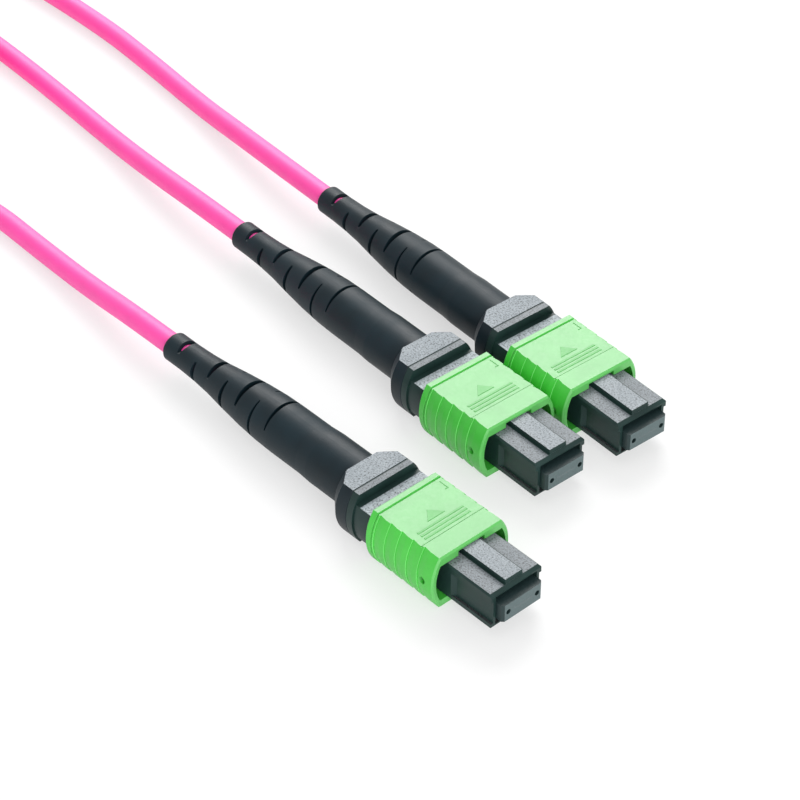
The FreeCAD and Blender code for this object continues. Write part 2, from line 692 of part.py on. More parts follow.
def cord(label, points):
    """A plain tube along straight runs joined by arcs that touch both runs."""
    corners = [Vector(*point) for point in points]
    edges = []
    last = corners[0]
    tightest = float("inf")
    for before, corner, after in zip(corners, corners[1:], corners[2:]):
        back, ahead = before - corner, after - corner
        reach = 0.45 * min(back.Length, ahead.Length)
        back.normalize()
        ahead.normalize()
        half = (math.pi - back.getAngle(ahead)) / 2
        bend = reach / math.tan(half)
        tightest = min(tightest, bend)
        middle = (back + ahead).normalize()
        start, end = corner + back * reach, corner + ahead * reach
        crest = corner + middle * (bend / math.cos(half) - bend)
        edges += [Part.LineSegment(last, start).toShape(), Part.Arc(start, crest, end).toShape()]
        last = end
    edges.append(Part.LineSegment(last, corners[-1]).toShape())
    wire = Part.Wire(edges)
    made = swept(label, wire, radius)
    share = made.Shape.Volume / (math.pi * radius * radius * wire.Length)
    print(f"{label}: {wire.Length:.1f} mm, tightest bend {tightest:.1f} mm, volume {share:.4f}")
    return made


def coil(label, centre, lane, layers):
    """The turns of one cord as a single closed ring."""
    body = new_body(label, (centre[0], centre[1], 0, 0))
    sketch = sketch_on(body, "XY_Plane", S.strap + 0.05)
    half = S.cable_dia / 2 + 0.02
    circle_loop(sketch, 0, 0, lane + half)
    circle_loop(sketch, 0, 0, lane - half)
    pad(body, sketch, S.cable_dia * layers + 0.1 * (layers - 1))
    return body


def strap(label, centre, inner, outer, layers, yaw):
    """A band round one side of a coil, turned about the coil's own axis."""
    body = new_body(label, (centre[0], centre[1], 0, yaw))
    sketch = sketch_on(body, "XZ_Plane")
    half = S.cable_dia / 2 + 0.07
    low_x, high_x = inner - half, outer + half
    low_z, high_z = S.strap, S.strap + 0.15 + S.cable_dia * layers + 0.1 * (layers - 1)
    box_loop(sketch, low_x - S.strap, high_x + S.strap, 0, high_z + S.strap)
    box_loop(sketch, low_x, high_x, low_z, high_z)
    made = feature(body, "Revolution", sketch)
    made.ReferenceAxis = (sketch, ["V_Axis"])
    made.Angle = S.strap_angle.value
    made.setExpression("Angle", S.strap_angle.text)
    made.Midplane = True
    doc.recompute()
    return body


SPLITTER = (splitter_back, splitter_y, S.splitter_height / 2, 0)


def splitter_half(label, upper):
    """One half of the splitter shell: rounded block, inner bay and half-round cord ports."""
    body = new_body(label, SPLITTER)
    half, side, tall = S.splitter_length / 2, S.splitter_width / 2, S.splitter_height / 2
    sketch = sketch_on(body, "XY_Plane")
    cut_off = 2.2
    loop(sketch, [
        (-half, -side + cut_off), (-half + cut_off, -side), (half - cut_off * 2, -side), (half, -side / 2),
        (half, side / 2), (half - cut_off * 2, side), (-half + cut_off, side), (-half, side - cut_off),
    ])
    block = pad(body, sketch, tall, backward=not upper)
    level = tall.value * (1 if upper else -1)
    rim = [
        f"Edge{number}" for number, edge in enumerate(block.Shape.Edges, 1)
        if abs(edge.BoundBox.ZMin - level) < 1e-4 and abs(edge.BoundBox.ZMax - level) < 1e-4
    ]
    dress(body, "Fillet", block, rim, S.splitter_wall * 0.7)
    wall = S.splitter_wall
    sketch = sketch_on(body, "XY_Plane")
    box_loop(sketch, -half + wall * 2, half - wall * 2.6, -side + wall, side - wall)
    cut(body, sketch, tall - wall, forward=upper)
    ports = sketch_on(body, "YZ_Plane", half + 1)
    circle_loop(ports, 0, 0, S.cable_dia / 2 + 0.6)
    cut(body, ports, wall * 2.6 + 2)
    ports = sketch_on(body, "YZ_Plane", -half - 1)
    for sign in (1, -1):
        circle_loop(ports, S.port_spacing / 2 * sign, 0, S.cable_dia / 2 + 0.6)
    cut(body, ports, wall * 2 + 2, forward=True)
    return body


def splitter_gland(label, end, across):
    """A soft sleeve on one cord where it enters the splitter; end is 1 at the trunk side."""
    body = new_body(label, (SPLITTER[0], across + splitter_y, SPLITTER[2], 0 if end > 0 else 180))
    half = S.splitter_length / 2
    wall = S.splitter_wall * (2.6 if end > 0 else 2)
    bore, stem, skirt = S.cable_dia / 2 + 0.03, S.cable_dia / 2 + 0.58, S.cable_dia / 2 + 0.95
    sketch = sketch_on(body, "XZ_Plane")
    inside, outside = half - wall - 0.05, half + 0.05
    loop(sketch, [
        (inside - 0.9, bore), (half + S.gland_length, bore), (half + S.gland_length, bore + 0.5),
        (half + S.gland_length - 0.5, bore + 0.75), (outside + 1.2, skirt), (outside, skirt), (outside, stem),
        (inside, stem), (inside, skirt), (inside - 0.9, skirt),
    ])
    turn(body, sketch)
    return body


made = []
for name, pose in POSES.items():
    made += [piece(name, pose) for piece in PIECES]
    made += springs(name, pose)
made += [
    cord("trunk_lead", trunk_lead),
    cord("trunk_tail", trunk_tail),
    coil("trunk_coil", trunk_centre, trunk_lane, 3),
    strap("trunk_coil_strap", trunk_centre, trunk_lane, trunk_lane, 3, 100),
]
for number in (1, 2):
    made += [
        cord(f"leg_{number}_lead", leg_leads[number - 1]),
        cord(f"leg_{number}_tail", leg_tails[number - 1]),
        coil(f"leg_{number}_coil", leg_centre, leg_lanes[number - 1], 4 - number),
    ]
made += [
    strap("leg_coil_strap", leg_centre, leg_lanes[0], leg_lanes[1], 3, 270),
    splitter_half("splitter_base", False),
    splitter_half("splitter_cover", True),
    splitter_gland("splitter_trunk_gland", 1, 0.0),
    splitter_gland("splitter_leg_1_gland", -1, S.port_spacing / 2),
    splitter_gland("splitter_leg_2_gland", -1, -S.port_spacing / 2),
]

doc.recompute()
for item in doc.Objects:
    if {"Invalid", "Error"} & set(item.State):
        raise RuntimeError(f"{item.Label} did not build")
os.makedirs("parts", exist_ok=True)
for item in made:
    if not item.Shape.isValid() or len(item.Shape.Solids) != 1:
        raise RuntimeError(f"{item.Label} is not one sound solid")
    item.Shape.exportStep(f"parts/{item.Label}.step")
print(len(made), "pieces")
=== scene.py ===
"""Looks for the fibre breakout cable: cords, straps, markings, finishes, light and camera round its CAD frame."""

import json
import math

import bpy
import numpy as np
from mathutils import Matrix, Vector


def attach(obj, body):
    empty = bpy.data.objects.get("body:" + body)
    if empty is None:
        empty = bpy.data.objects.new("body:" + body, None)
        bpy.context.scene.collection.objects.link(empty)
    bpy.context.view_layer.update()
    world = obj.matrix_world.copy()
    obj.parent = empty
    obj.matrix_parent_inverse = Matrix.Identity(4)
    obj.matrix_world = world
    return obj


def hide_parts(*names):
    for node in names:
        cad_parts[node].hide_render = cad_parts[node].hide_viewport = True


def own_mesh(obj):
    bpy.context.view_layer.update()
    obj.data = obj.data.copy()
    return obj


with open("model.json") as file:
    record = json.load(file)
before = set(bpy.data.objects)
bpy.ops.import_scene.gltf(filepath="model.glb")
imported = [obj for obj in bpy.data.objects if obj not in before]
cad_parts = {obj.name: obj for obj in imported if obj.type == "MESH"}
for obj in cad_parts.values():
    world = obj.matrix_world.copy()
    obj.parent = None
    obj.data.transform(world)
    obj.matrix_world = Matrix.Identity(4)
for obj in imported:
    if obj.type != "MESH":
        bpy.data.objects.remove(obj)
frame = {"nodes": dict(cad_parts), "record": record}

bl_info = {
    "name": "Fibre breakout cable",
    "version": (1, 0, 0),
    "blender": (4, 5, 0),
    "location": "View3D > Sidebar > Cable",
    "description": "Dresses the breakout cable's CAD frame with cords, straps, markings, finishes and a studio",
    "category": "Object",
}

MM = 0.001
# Places on a connector, in mm ahead of the front of its sleeve: ends of boot, collar and flange, the groove before the
# sleeve's rear ridge, the steps of its grip, and the end of the ferrule. What lies within touch is at a place.
BOOT_END, COLLAR_END, COLLAR_FRONT, FLANGE_FRONT = -55.3, -19.1, -15.7, -14.7
RIDGE_GROOVE = -10.62
GRIP_STEPS = -2.75 - 1.9 * np.arange(5)
FERRULE_FACE = 8.65
TOUCH = 0.05
# Heights on a connector above the floor, and half the width of its key, in mm.
AXIS_HEIGHT = 3.9
NECK_TOP, NOSE_TOP, KEY_TOP, FLANGE_TOP = AXIS_HEIGHT + np.array([2.5, 2.6, 3.3, 3.75])
KEY_HALF = 1.35
# Front of each connector's sleeve (x, y in mm) and its yaw in degrees.
SLEEVE_FRONT = 5.85
POSES = {
    "trunk": (SLEEVE_FRONT, 0.0, 0.0),
    "branch_1": (SLEEVE_FRONT - 12.665, 20.0, -2.04),
    "branch_2": (SLEEVE_FRONT - 11.095, 32.85, -3.15),
}
# Middles of the trunk's coil, the splitter and the legs' coil, from the tail of the trunk's boot, in mm.
TAIL_X = SLEEVE_FRONT + BOOT_END
TRUNK_COIL_X, SPLITTER_X, LEG_COIL_X = TAIL_X - 82.7, TAIL_X - 122.7, TAIL_X - 142.7
SPLITTER_HALF, GLAND_REACH = 13.0, 5.5
# Play between layers of cord, between lanes of cord, and between a cord and the strap below it, in mm.
LAYER_GAP, LANE_GAP, REST_GAP = 0.1, 0.2, 0.05


def heading(name):
    """Cosine and sine of a connector's yaw."""
    yaw = math.radians(POSES[name][2])
    return math.cos(yaw), math.sin(yaw)


def to_room(name, points):
    """Connector points (x ahead of the sleeve's front, y across, z up), turned by its yaw and moved to its place."""
    x, y, _ = POSES[name]
    c, s = heading(name)
    points = np.asarray(points, float)
    along, across = points[..., 0], points[..., 1]
    return np.stack([x + c * along - s * across, y + s * along + c * across, points[..., 2]], axis=-1)


def in_connector(name, points):
    """Points in mm as distance ahead of the front of a connector's sleeve and across it."""
    x, y, _ = POSES[name]
    c, s = heading(name)
    off_x, off_y = points[:, 0] - x, points[:, 1] - y
    return off_x * c + off_y * s, off_y * c - off_x * s


def behind_boot(name, points):
    """Points given as distance behind the boot's tail, across and up."""
    points = np.array(points, float)
    points[:, 0] = BOOT_END - points[:, 0]
    return to_room(name, points)


# Settings


class CordSettings(bpy.types.PropertyGroup):
    """Sizes of the cords and of the coils that their spare length lies in, in millimetres."""

    diameter: bpy.props.FloatProperty(
        name="Diameter", description="Outer diameter of the jacket in mm", default=3.0, min=0.5, max=10)
    trunk_lane: bpy.props.FloatProperty(
        name="Trunk coil", description="Radius of the trunk coil at the middle of its cord in mm", default=17.4)
    leg_lane: bpy.props.FloatProperty(
        name="Leg coil", description="Radius of the inner leg's turns in mm", default=14.5)
    splitter_y: bpy.props.FloatProperty(
        name="Splitter line", description="Where the splitter's middle line lies across, in mm", default=-17.2)
    port_height: bpy.props.FloatProperty(
        name="Port height", description="Height of the splitter's ports in mm", default=4.3)
    port_spacing: bpy.props.FloatProperty(
        name="Port spacing", description="Distance between the two leg ports in mm", default=6.0)


class StrapSettings(bpy.types.PropertyGroup):
    """Sizes of the hook-and-loop straps round the coils."""

    thickness: bpy.props.FloatProperty(name="Thickness", description="Thickness of the band in mm", default=0.75)
    angle: bpy.props.FloatProperty(
        name="Width", description="Part of the coil's turn that the band covers, in degrees", default=25.4)


class MarkSettings(bpy.types.PropertyGroup):
    """Raised marks on the sleeves."""

    height: bpy.props.FloatProperty(name="Relief", description="How far the marks stand proud in mm", default=0.06)
    panel_top: bpy.props.FloatProperty(
        name="Panel", description="Height of the sunk panel above the floor in mm", default=7.7)


class FinishSettings(bpy.types.PropertyGroup):
    """Base colours of the finishes."""

    green: bpy.props.FloatVectorProperty(
        name="Sleeve", description="Green of the coupling sleeves", subtype="COLOR", default=(0.06, 0.53, 0.052))
    # Paler, less saturated green on the sleeves' upward flats: a painted highlight.
    highlight_green: bpy.props.FloatVectorProperty(
        name="Sleeve flats", description="Paler green of the sleeves' satin flats", subtype="COLOR",
        default=(0.17, 0.47, 0.17))
    # Light green on the grip's step faces: painted highlights along their edges.
    step_highlight_green: bpy.props.FloatVectorProperty(
        name="Grip edges", description="Light green of the grip's worn steps", subtype="COLOR",
        default=(0.22, 0.71, 0.21))
    mark_green: bpy.props.FloatVectorProperty(
        name="Marks", description="Green of the raised marks", subtype="COLOR", default=(0.11, 0.42, 0.11))
    pink: bpy.props.FloatVectorProperty(
        name="Jacket", description="Pink of the cords", subtype="COLOR", default=(0.93, 0.022, 0.345))
    black: bpy.props.FloatVectorProperty(
        name="Plug", description="Black of the moulded plugs", subtype="COLOR", default=(0.012, 0.032, 0.029))
    # Pale tone of the flats: the spark-eroded texture with a painted highlight in it.
    frost_and_highlight: bpy.props.FloatVectorProperty(
        name="Frosted flats", description="Tone of the spark-eroded flats", subtype="COLOR",
        default=(0.2, 0.226, 0.244))
    rubber: bpy.props.FloatVectorProperty(
        name="Boot", description="Black of the strain-relief boots", subtype="COLOR", default=(0.0035, 0.0125, 0.018))


class StudioSettings(bpy.types.PropertyGroup):
    """Camera and light."""

    azimuth: bpy.props.FloatProperty(name="Azimuth", description="Camera azimuth in degrees", default=47.623)
    elevation: bpy.props.FloatProperty(name="Elevation", description="Camera elevation in degrees", default=39.764)
    distance: bpy.props.FloatProperty(name="Distance", description="Camera distance in mm", default=350.0)
    target: bpy.props.FloatVectorProperty(
        name="Target", description="Point the camera looks at, in mm", size=3, default=(-25.382, 17.245, 0.0))
    lens: bpy.props.FloatProperty(name="Lens", description="Focal length on a 36 mm sensor, in mm", default=123.5)
    sky: bpy.props.FloatProperty(name="Sky", description="Strength of the even light from all round", default=0.7)
    glare: bpy.props.FloatProperty(name="Back box", description="Power of the box behind, in watts", default=7.0)
    fill: bpy.props.FloatProperty(name="Top box", description="Power of the box above, in watts", default=1.5)
    ends: bpy.props.FloatProperty(
        name="End box", description="Power of the box before the plugs, in watts", default=7.0)


# Finishes


class Finish:
    """A material under construction: its tree, its Principled shader and short ways to add nodes."""

    def __init__(self, name, roughness, specular=0.5, metallic=0.0):
        self.material = bpy.data.materials.new(name)
        self.material.use_nodes = True
        self.tree = self.material.node_tree
        self.shader = self.tree.nodes["Principled BSDF"]
        self.set("Roughness", roughness)
        self.set("Specular IOR Level", specular)
        self.set("Metallic", metallic)
        self.place = self.add("ShaderNodeTexCoord").outputs["Object"]

    def add(self, kind, **settings):
        node = self.tree.nodes.new(kind)
        for key, value in settings.items():
            setattr(node, key, value)
        return node

    def link(self, source, target):
        self.tree.links.new(source, target)

    def set(self, socket, value):
        self.shader.inputs[socket].default_value = value

    def noise(self, scale, detail=3.0, roughness=0.55):
        node = self.add("ShaderNodeTexNoise")
        node.inputs["Scale"].default_value = scale
        node.inputs["Detail"].default_value = detail
        node.inputs["Roughness"].default_value = roughness
        self.link(self.place, node.inputs["Vector"])
        return node.outputs["Fac"]

    def remap(self, value, source, target):
        node = self.add("ShaderNodeMapRange")
        self.link(value, node.inputs["Value"])
        for socket, number in zip(("From Min", "From Max", "To Min", "To Max"), (*source, *target)):
            node.inputs[socket].default_value = number
        return node.outputs["Result"]

    def tones(self, value, stops):
        """Colour ramp from stops of place and colour."""
        node = self.add("ShaderNodeValToRGB")
        ramp = node.color_ramp
        while len(ramp.elements) < len(stops):
            ramp.elements.new(0.5)
        for element, (place, colour) in zip(ramp.elements, stops):
            element.position = place
            element.color = (*colour, 1.0)
        self.link(value, node.inputs["Fac"])
        return node.outputs["Color"]

    def mix(self, factor, first, second):
        node = self.add("ShaderNodeMix", data_type="RGBA")
        sockets = [socket for socket in node.inputs if socket.enabled]
        for source, socket in zip((factor, first, second), sockets):
            self.link(source, socket)
        return next(socket for socket in node.outputs if socket.enabled)

    def bump(self, height, strength, distance):
        node = self.add("ShaderNodeBump")
        node.inputs["Strength"].default_value = strength
        node.inputs["Distance"].default_value = distance
        self.link(height, node.inputs["Height"])
        self.link(node.outputs["Normal"], self.shader.inputs["Normal"])


def shade(colour, factor):
    """A colour made lighter or darker."""
    return tuple(min(1.0, part * factor) for part in colour)


def moulded_green(name, side, flat, edge, roughness, specular):
    """Moulded plastic: faint clouding of the dye, fine satin texture, a painted highlight that makes the marked flats
    paler, and painted light on the marked steps and groove."""
    made = Finish(name, roughness, specular)
    cloud = made.noise(260.0, 2.0)
    satin = made.noise(3200.0, 3.0)
    level = made.add("ShaderNodeAttribute", attribute_name="frost_and_highlight").outputs["Fac"]
    walls = made.tones(cloud, [(0.3, shade(side, 0.95)), (0.7, shade(side, 1.04))])
    # paler green of a painted highlight on the marked flats
    tops = made.tones(cloud, [(0.3, shade(flat, 0.94)), (0.7, shade(flat, 1.06))])
    # light green of painted highlights on the grip's steps
    steps = made.tones(cloud, [(0.3, shade(edge, 0.9)), (0.7, shade(edge, 1.05))])
    painted_light = made.add("ShaderNodeAttribute", attribute_name="painted_light").outputs["Fac"]
    made.link(made.mix(painted_light, made.mix(level, walls, tops), steps), made.shader.inputs["Base Color"])
    made.link(made.remap(satin, (0.3, 0.7), (roughness - 0.05, roughness + 0.06)), made.shader.inputs["Roughness"])
    made.bump(satin, 0.25, 0.00001)
    return made.material


def ferrule_resin(name, side, face):
    """Glass-filled resin: dull dark sides and top, and an end face painted paler than them as painted light."""
    made = Finish(name, 0.5, 0.4)
    grain = made.noise(5200.0, 3.0)
    painted_end_light = made.add("ShaderNodeAttribute", attribute_name="frost_and_highlight").outputs["Fac"]
    walls = made.tones(grain, [(0.3, shade(side, 0.8)), (0.7, shade(side, 1.2))])
    ends = made.tones(grain, [(0.3, shade(face, 0.85)), (0.7, shade(face, 1.15))])
    made.link(made.mix(painted_end_light, walls, ends), made.shader.inputs["Base Color"])
    made.link(made.remap(grain, (0.3, 0.7), (0.42, 0.58)), made.shader.inputs["Roughness"])
    made.bump(grain, 0.2, 0.00001)
    return made.material


def black_frost_and_highlight(name, dark, pale, roughness, specular):
    """Black moulding whose marked flats take a pale speckle, partly the spark-eroded mould's texture and partly a
    painted highlight, as strong as their mark, up to where painted shade or a dark seam line leaves it out."""
    made = Finish(name, roughness, specular)
    speck = made.noise(4300.0, 3.0, 0.75)
    cloud = made.noise(240.0, 2.0)
    gain = made.add("ShaderNodeAttribute", attribute_name="frost_and_highlight").outputs["Fac"]
    shade_and_seam = made.add("ShaderNodeAttribute", attribute_name="shade_and_seam").outputs["Fac"]
    walls = made.tones(cloud, [(0.3, shade(dark, 0.8)), (0.7, shade(dark, 1.25))])
    # pale speckle whose tone carries a painted highlight, scaled by each face's level
    grains = made.tones(speck, [(0.36, shade(pale, 0.17)), (0.46, shade(pale, 0.75)), (0.62, shade(pale, 1.08))])
    lit = made.add("ShaderNodeVectorMath", operation="SCALE")
    made.link(grains, lit.inputs["Vector"])
    made.link(gain, lit.inputs["Scale"])
    covered = made.add("ShaderNodeMath", operation="MULTIPLY")
    made.link(made.remap(gain, (0.0, 0.01), (0.0, 1.0)), covered.inputs[0])
    made.link(made.remap(shade_and_seam, (0.01, 0.05), (1.0, 0.0)), covered.inputs[1])
    made.link(made.mix(covered.outputs["Value"], walls, lit.outputs["Vector"]), made.shader.inputs["Base Color"])
    made.link(made.remap(cloud, (0.3, 0.7), (roughness - 0.06, roughness + 0.06)), made.shader.inputs["Roughness"])
    made.bump(speck, 0.4, 0.00002)
    return made.material


# Widths in mm of the dark strips without speckle: painted shade at the key's edge and foot and on the neck, a dark
# seam line.
SHADE_EDGE, SHADE_FOOT, SHADE_NECK, BARE_SEAM = 0.13, 0.24, 0.75, 0.16
# Speckle of the flats, made lighter as a painted highlight the higher they lie: the heights between which it grows
# and by how much, and its share of that on the strip before the seam, on the neck (raised as painted light against
# the flange's shade) and on the housing's low ledges.
HIGH_FLATS, HIGH_GAIN = (6.6, 7.2), 1.4
STRIP_SHARE, NECK_SHARE, LEDGE_SHARE = 0.62, 2.0, 0.25
# Painted light on the sleeve: its share on the front faces and on the groove, and half the groove's width in mm.
FRONT_SHARE, GROOVE_SHARE, GROOVE_HALF = 0.5, 0.5, 0.14
# Least part of a face's normal that makes it look one way.
FACING = 0.9


def vectors(items, name):
    """A vector of every point or face of a mesh, in rows."""
    values = np.empty(3 * len(items))
    items.foreach_get(name, values)
    return values.reshape(-1, 3)


def mark_face(mesh, name, values):
    """A face attribute from one value for every face."""
    mesh.attributes.new(name, "FLOAT", "FACE").data.foreach_set("value", values)


def mark_shade_and_seam(mesh, node, owner):
    """Point attribute, in mm past the line where a flat loses its speckle and stays dark: painted shade at one edge
    and at the foot of a housing's key and at the end of a neck that lies under the flange, and a dark line on the
    flange beside the boot's seam."""
    points = vectors(mesh.vertices, "co") / MM
    ahead, across = in_connector(owner, points)
    if node.endswith("_plug_housing"):
        # painted shade: a dark line along the key's edge and a dark strip at its foot
        lines = ((KEY_TOP, across - KEY_HALF + SHADE_EDGE), (NOSE_TOP, KEY_HALF + SHADE_FOOT - np.abs(across)))
    else:
        # painted shade on the neck under the flange, and a dark line on the flange by the seam
        lines = ((NECK_TOP, FLANGE_FRONT + SHADE_NECK - ahead), (FLANGE_TOP, COLLAR_FRONT + BARE_SEAM - ahead))
    levels = [np.abs(points[:, 2] - level) < TOUCH for level, _ in lines]
    past = np.select(levels, [beyond for _, beyond in lines], -1.0)
    mesh.attributes.new("shade_and_seam", "FLOAT", "POINT").data.foreach_set("value", past)


def mark_frost_and_highlight(mesh, node):
    """Face attributes for painted light, by the direction faces look in: a painted highlight on those that look up or
    down, the more the higher, on a sleeve only outside, with painted light on those that look forward and on the
    grip's steps and the groove, on a boot on those of its collar but for the seam at its front, duller on the strip
    before that seam and on a housing's low ledges, and on a ferrule on its end, made paler than its shaded top and
    sides."""
    owner = next((name for name in POSES if node.startswith(name)), None)
    normals, middles = vectors(mesh.polygons, "normal"), vectors(mesh.polygons, "center") / MM
    ahead, _, up = np.abs(normals).T
    height = middles[:, 2]
    # painted highlight: flats that look up or down grow lighter the higher they lie
    pale = np.where(up > FACING, np.interp(height, HIGH_FLATS, (1.0, HIGH_GAIN)), 0.0)
    place = in_connector(owner, middles)[0] if owner else None
    if node.endswith("_coupling_sleeve"):
        outside = normals[:, 2] * (height - AXIS_HEIGHT) > 0
        # painted highlight on the sleeve's outer flats, painted light on its front faces
        pale = np.where((up > FACING) & outside, 1.0, np.where(ahead > 0.65, FRONT_SHARE, 0.0))
        # painted highlights on the grip's step faces
        steps = (ahead > FACING) & (np.abs(place[:, None] - GRIP_STEPS).min(axis=1) < TOUCH)
        # the groove lightened as painted light against its own shade
        groove = np.abs(place - RIDGE_GROOVE) < GROOVE_HALF
        pale[groove] = 0.0
        mark_face(mesh, "painted_light", np.where(steps, 1.0, np.where(groove, GROOVE_SHARE, 0.0)))
    elif node.endswith("_strain_boot"):
        seam = (place > COLLAR_FRONT - 0.2) & (ahead > 0.5)
        # painted highlight on the boot collar's upward faces; the seam stays dark
        pale = np.where((up > 0.6) & (place > COLLAR_END) & ~seam, HIGH_GAIN, 0.0)
    elif node.endswith("_back_body"):
        strip, neck = place < FLANGE_FRONT + 0.1, height < NECK_TOP + 0.1
        # the neck's highlight raised as painted light against the flange's shade
        pale = pale * np.select([strip, neck], [STRIP_SHARE, NECK_SHARE], 1.0)
        mark_shade_and_seam(mesh, node, owner)
    elif node.endswith("_plug_housing"):
        ledges = (height < AXIS_HEIGHT) & (normals[:, 2] > 0)
        # the housing's low ledges kept darker
        pale = np.where(ledges, LEDGE_SHARE * pale, pale)
        mark_shade_and_seam(mesh, node, owner)
    elif node.endswith("_ferrule"):
        # painted light: the ferrule's end face made paler than its shaded top and sides
        pale = np.where(ahead > FACING, 1.0, 0.0)
    elif node.endswith("_gland"):
        pale[:] = 0.0
    mark_face(mesh, "frost_and_highlight", pale)


def cord_jacket(name, colour):
    """Extruded jacket: satin under a dull coat, with a soft unevenness from the strength yarns below."""
    made = Finish(name, 0.62, 1.0)
    lump = made.noise(420.0, 2.0)
    skin = made.noise(2600.0, 2.0)
    tone = made.tones(lump, [(0.25, shade(colour, 0.93)), (0.75, shade(colour, 1.03))])
    made.link(tone, made.shader.inputs["Base Color"])
    made.link(made.remap(skin, (0.3, 0.7), (0.59, 0.66)), made.shader.inputs["Roughness"])
    made.set("Coat Weight", 0.75)
    made.set("Coat Roughness", 0.6)
    made.bump(lump, 0.05, 0.00004)
    return made.material


def strap_weave(name, colour):
    """Woven band: loops in rows, from two waves in the band's own UV map, lit at their tops."""
    made = Finish(name, 0.9, 0.2)
    flat = made.add("ShaderNodeUVMap", uv_map="band").outputs["UV"]
    rows = []
    for direction in ("X", "Y"):
        wave = made.add("ShaderNodeTexWave", wave_type="BANDS", bands_direction=direction)
        wave.inputs["Scale"].default_value = 0.9
        wave.inputs["Distortion"].default_value = 0.8
        made.link(flat, wave.inputs["Vector"])
        rows.append(wave.outputs["Fac"])
    loops = made.add("ShaderNodeMath", operation="MULTIPLY")
    made.link(rows[0], loops.inputs[0])
    made.link(rows[1], loops.inputs[1])
    height = loops.outputs["Value"]
    tone = made.tones(height, [(0.1, shade(colour, 0.5)), (0.8, shade(colour, 1.9))])
    made.link(tone, made.shader.inputs["Base Color"])
    made.bump(height, 0.9, 0.00015)
    return made.material


def spring_steel(name):
    """Drawn steel wire with a slight change of gloss along it."""
    made = Finish(name, 0.28, metallic=1.0)
    drawn = made.noise(1500.0, 2.0)
    tone = made.tones(drawn, [(0.3, (0.5, 0.5, 0.51)), (0.7, (0.66, 0.66, 0.67))])
    made.link(tone, made.shader.inputs["Base Color"])
    made.link(made.remap(drawn, (0.3, 0.7), (0.22, 0.38)), made.shader.inputs["Roughness"])
    return made.material


def speckled(name, colour, roughness, scale, spread):
    """Plain material with a slight speckle."""
    made = Finish(name, roughness)
    speck = made.noise(scale, 3.0)
    tone = made.tones(speck, [(0.3, shade(colour, 1 - spread)), (0.7, shade(colour, 1 + spread))])
    made.link(tone, made.shader.inputs["Base Color"])
    made.bump(speck, 0.2, 0.00001)
    return made.material


def finishes():
    """One material for each slot of the record, and the marks' own."""
    tone = bpy.context.scene.cable_finish
    return {
        "sleeve": moulded_green("sleeve_green", tone.green, tone.highlight_green, tone.step_highlight_green, 0.4, 0.5),
        "sleeve_mark": moulded_green("sleeve_mark", tone.mark_green, tone.green, tone.green, 0.45, 0.5),
        "black_plastic": black_frost_and_highlight("plug_black", tone.black, tone.frost_and_highlight, 0.42, 0.25),
        # the ferrule's dark top and sides and pale end face are painted shade and painted light
        "ferrule_resin": ferrule_resin("ferrule_resin", (0.012, 0.029, 0.03), (0.08, 0.118, 0.121)),
        "boot_rubber": black_frost_and_highlight("boot_rubber", tone.rubber, tone.frost_and_highlight, 0.48, 0.25),
        "jacket": cord_jacket("jacket_pink", tone.pink),
        "soft_insert": speckled("soft_insert", (0.2, 0.2, 0.21), 0.7, 2500.0, 0.1),
        "fibre": speckled("bare_fibre", (0.8, 0.84, 0.86), 0.2, 900.0, 0.04),
        "fibre_end": speckled("fibre_end", (0.16, 0.18, 0.185), 0.15, 900.0, 0.1),
        "steel": spring_steel("spring_steel"),
        "strap_weave": strap_weave("strap_weave", (0.03, 0.03, 0.032)),
    }


# Edges sharper than this stay sharp on the CAD nodes.
CREASE = math.radians(26)


class CABLE_OT_finishes(bpy.types.Operator):
    """Gives every CAD node the finish of its slot and smooth shading between its facets."""

    bl_idname = "cable.finishes"
    bl_label = "Finish the CAD nodes"

    def execute(self, context):
        made = finishes()
        for row in frame["record"]["subparts"]:
            mesh = frame["nodes"][row["node"]].data
            mesh.materials.clear()
            mesh.materials.append(made[row["material_slot"]])
            mesh.shade_smooth()
            mesh.set_sharp_from_angle(angle=CREASE)
            mark_frost_and_highlight(mesh, row["node"])
        return {"FINISHED"}


# Spring, the joint that presses it, its fixed and its free end in mm ahead of the sleeve's front, the stroke in mm.
SPRINGS = (
    ("return_spring_left", "sleeve_pull", -10.0, -5.0, 2.0),
    ("return_spring_right", "sleeve_pull", -10.0, -5.0, 2.0),
    ("ferrule_spring", "ferrule_press", -8.5, -1.35, 0.7),
)


class CABLE_OT_springs(bpy.types.Operator):
    """Gives each spring of each connector a mesh of its own."""

    bl_idname = "cable.springs"
    bl_label = "Let the springs give"

    def execute(self, context):
        for name in POSES:
            for spring, joint, seat, tip, stroke in SPRINGS:
                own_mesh(frame["nodes"][f"{name}_{spring}"])
        return {"FINISHED"}


# Pieces from grids


def new_piece(name, points, faces, material, body):
    """A mesh from points in mm and faces by index, riding on a body."""
    mesh = bpy.data.meshes.new(name)
    mesh.from_pydata((np.reshape(points, (-1, 3)) * MM).tolist(), [], faces)
    mesh.materials.append(material)
    made = bpy.data.objects.new(name, mesh)
    bpy.context.collection.objects.link(made)
    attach(made, body)
    return made


def capped_prisms(rings):
    """Faces of closed prisms from rings of shape (prisms, levels, corners, 3): quads round, a cap at each end."""
    prisms, levels, corners = rings.shape[:3]
    index = np.arange(prisms * levels * corners).reshape(prisms, levels, corners)
    after = np.roll(index, -1, axis=2)
    sides = np.stack([index[:, :-1], after[:, :-1], after[:, 1:], index[:, 1:]], axis=-1).reshape(-1, 4)
    return sides.tolist() + index[:, 0, ::-1].tolist() + index[:, -1].tolist()


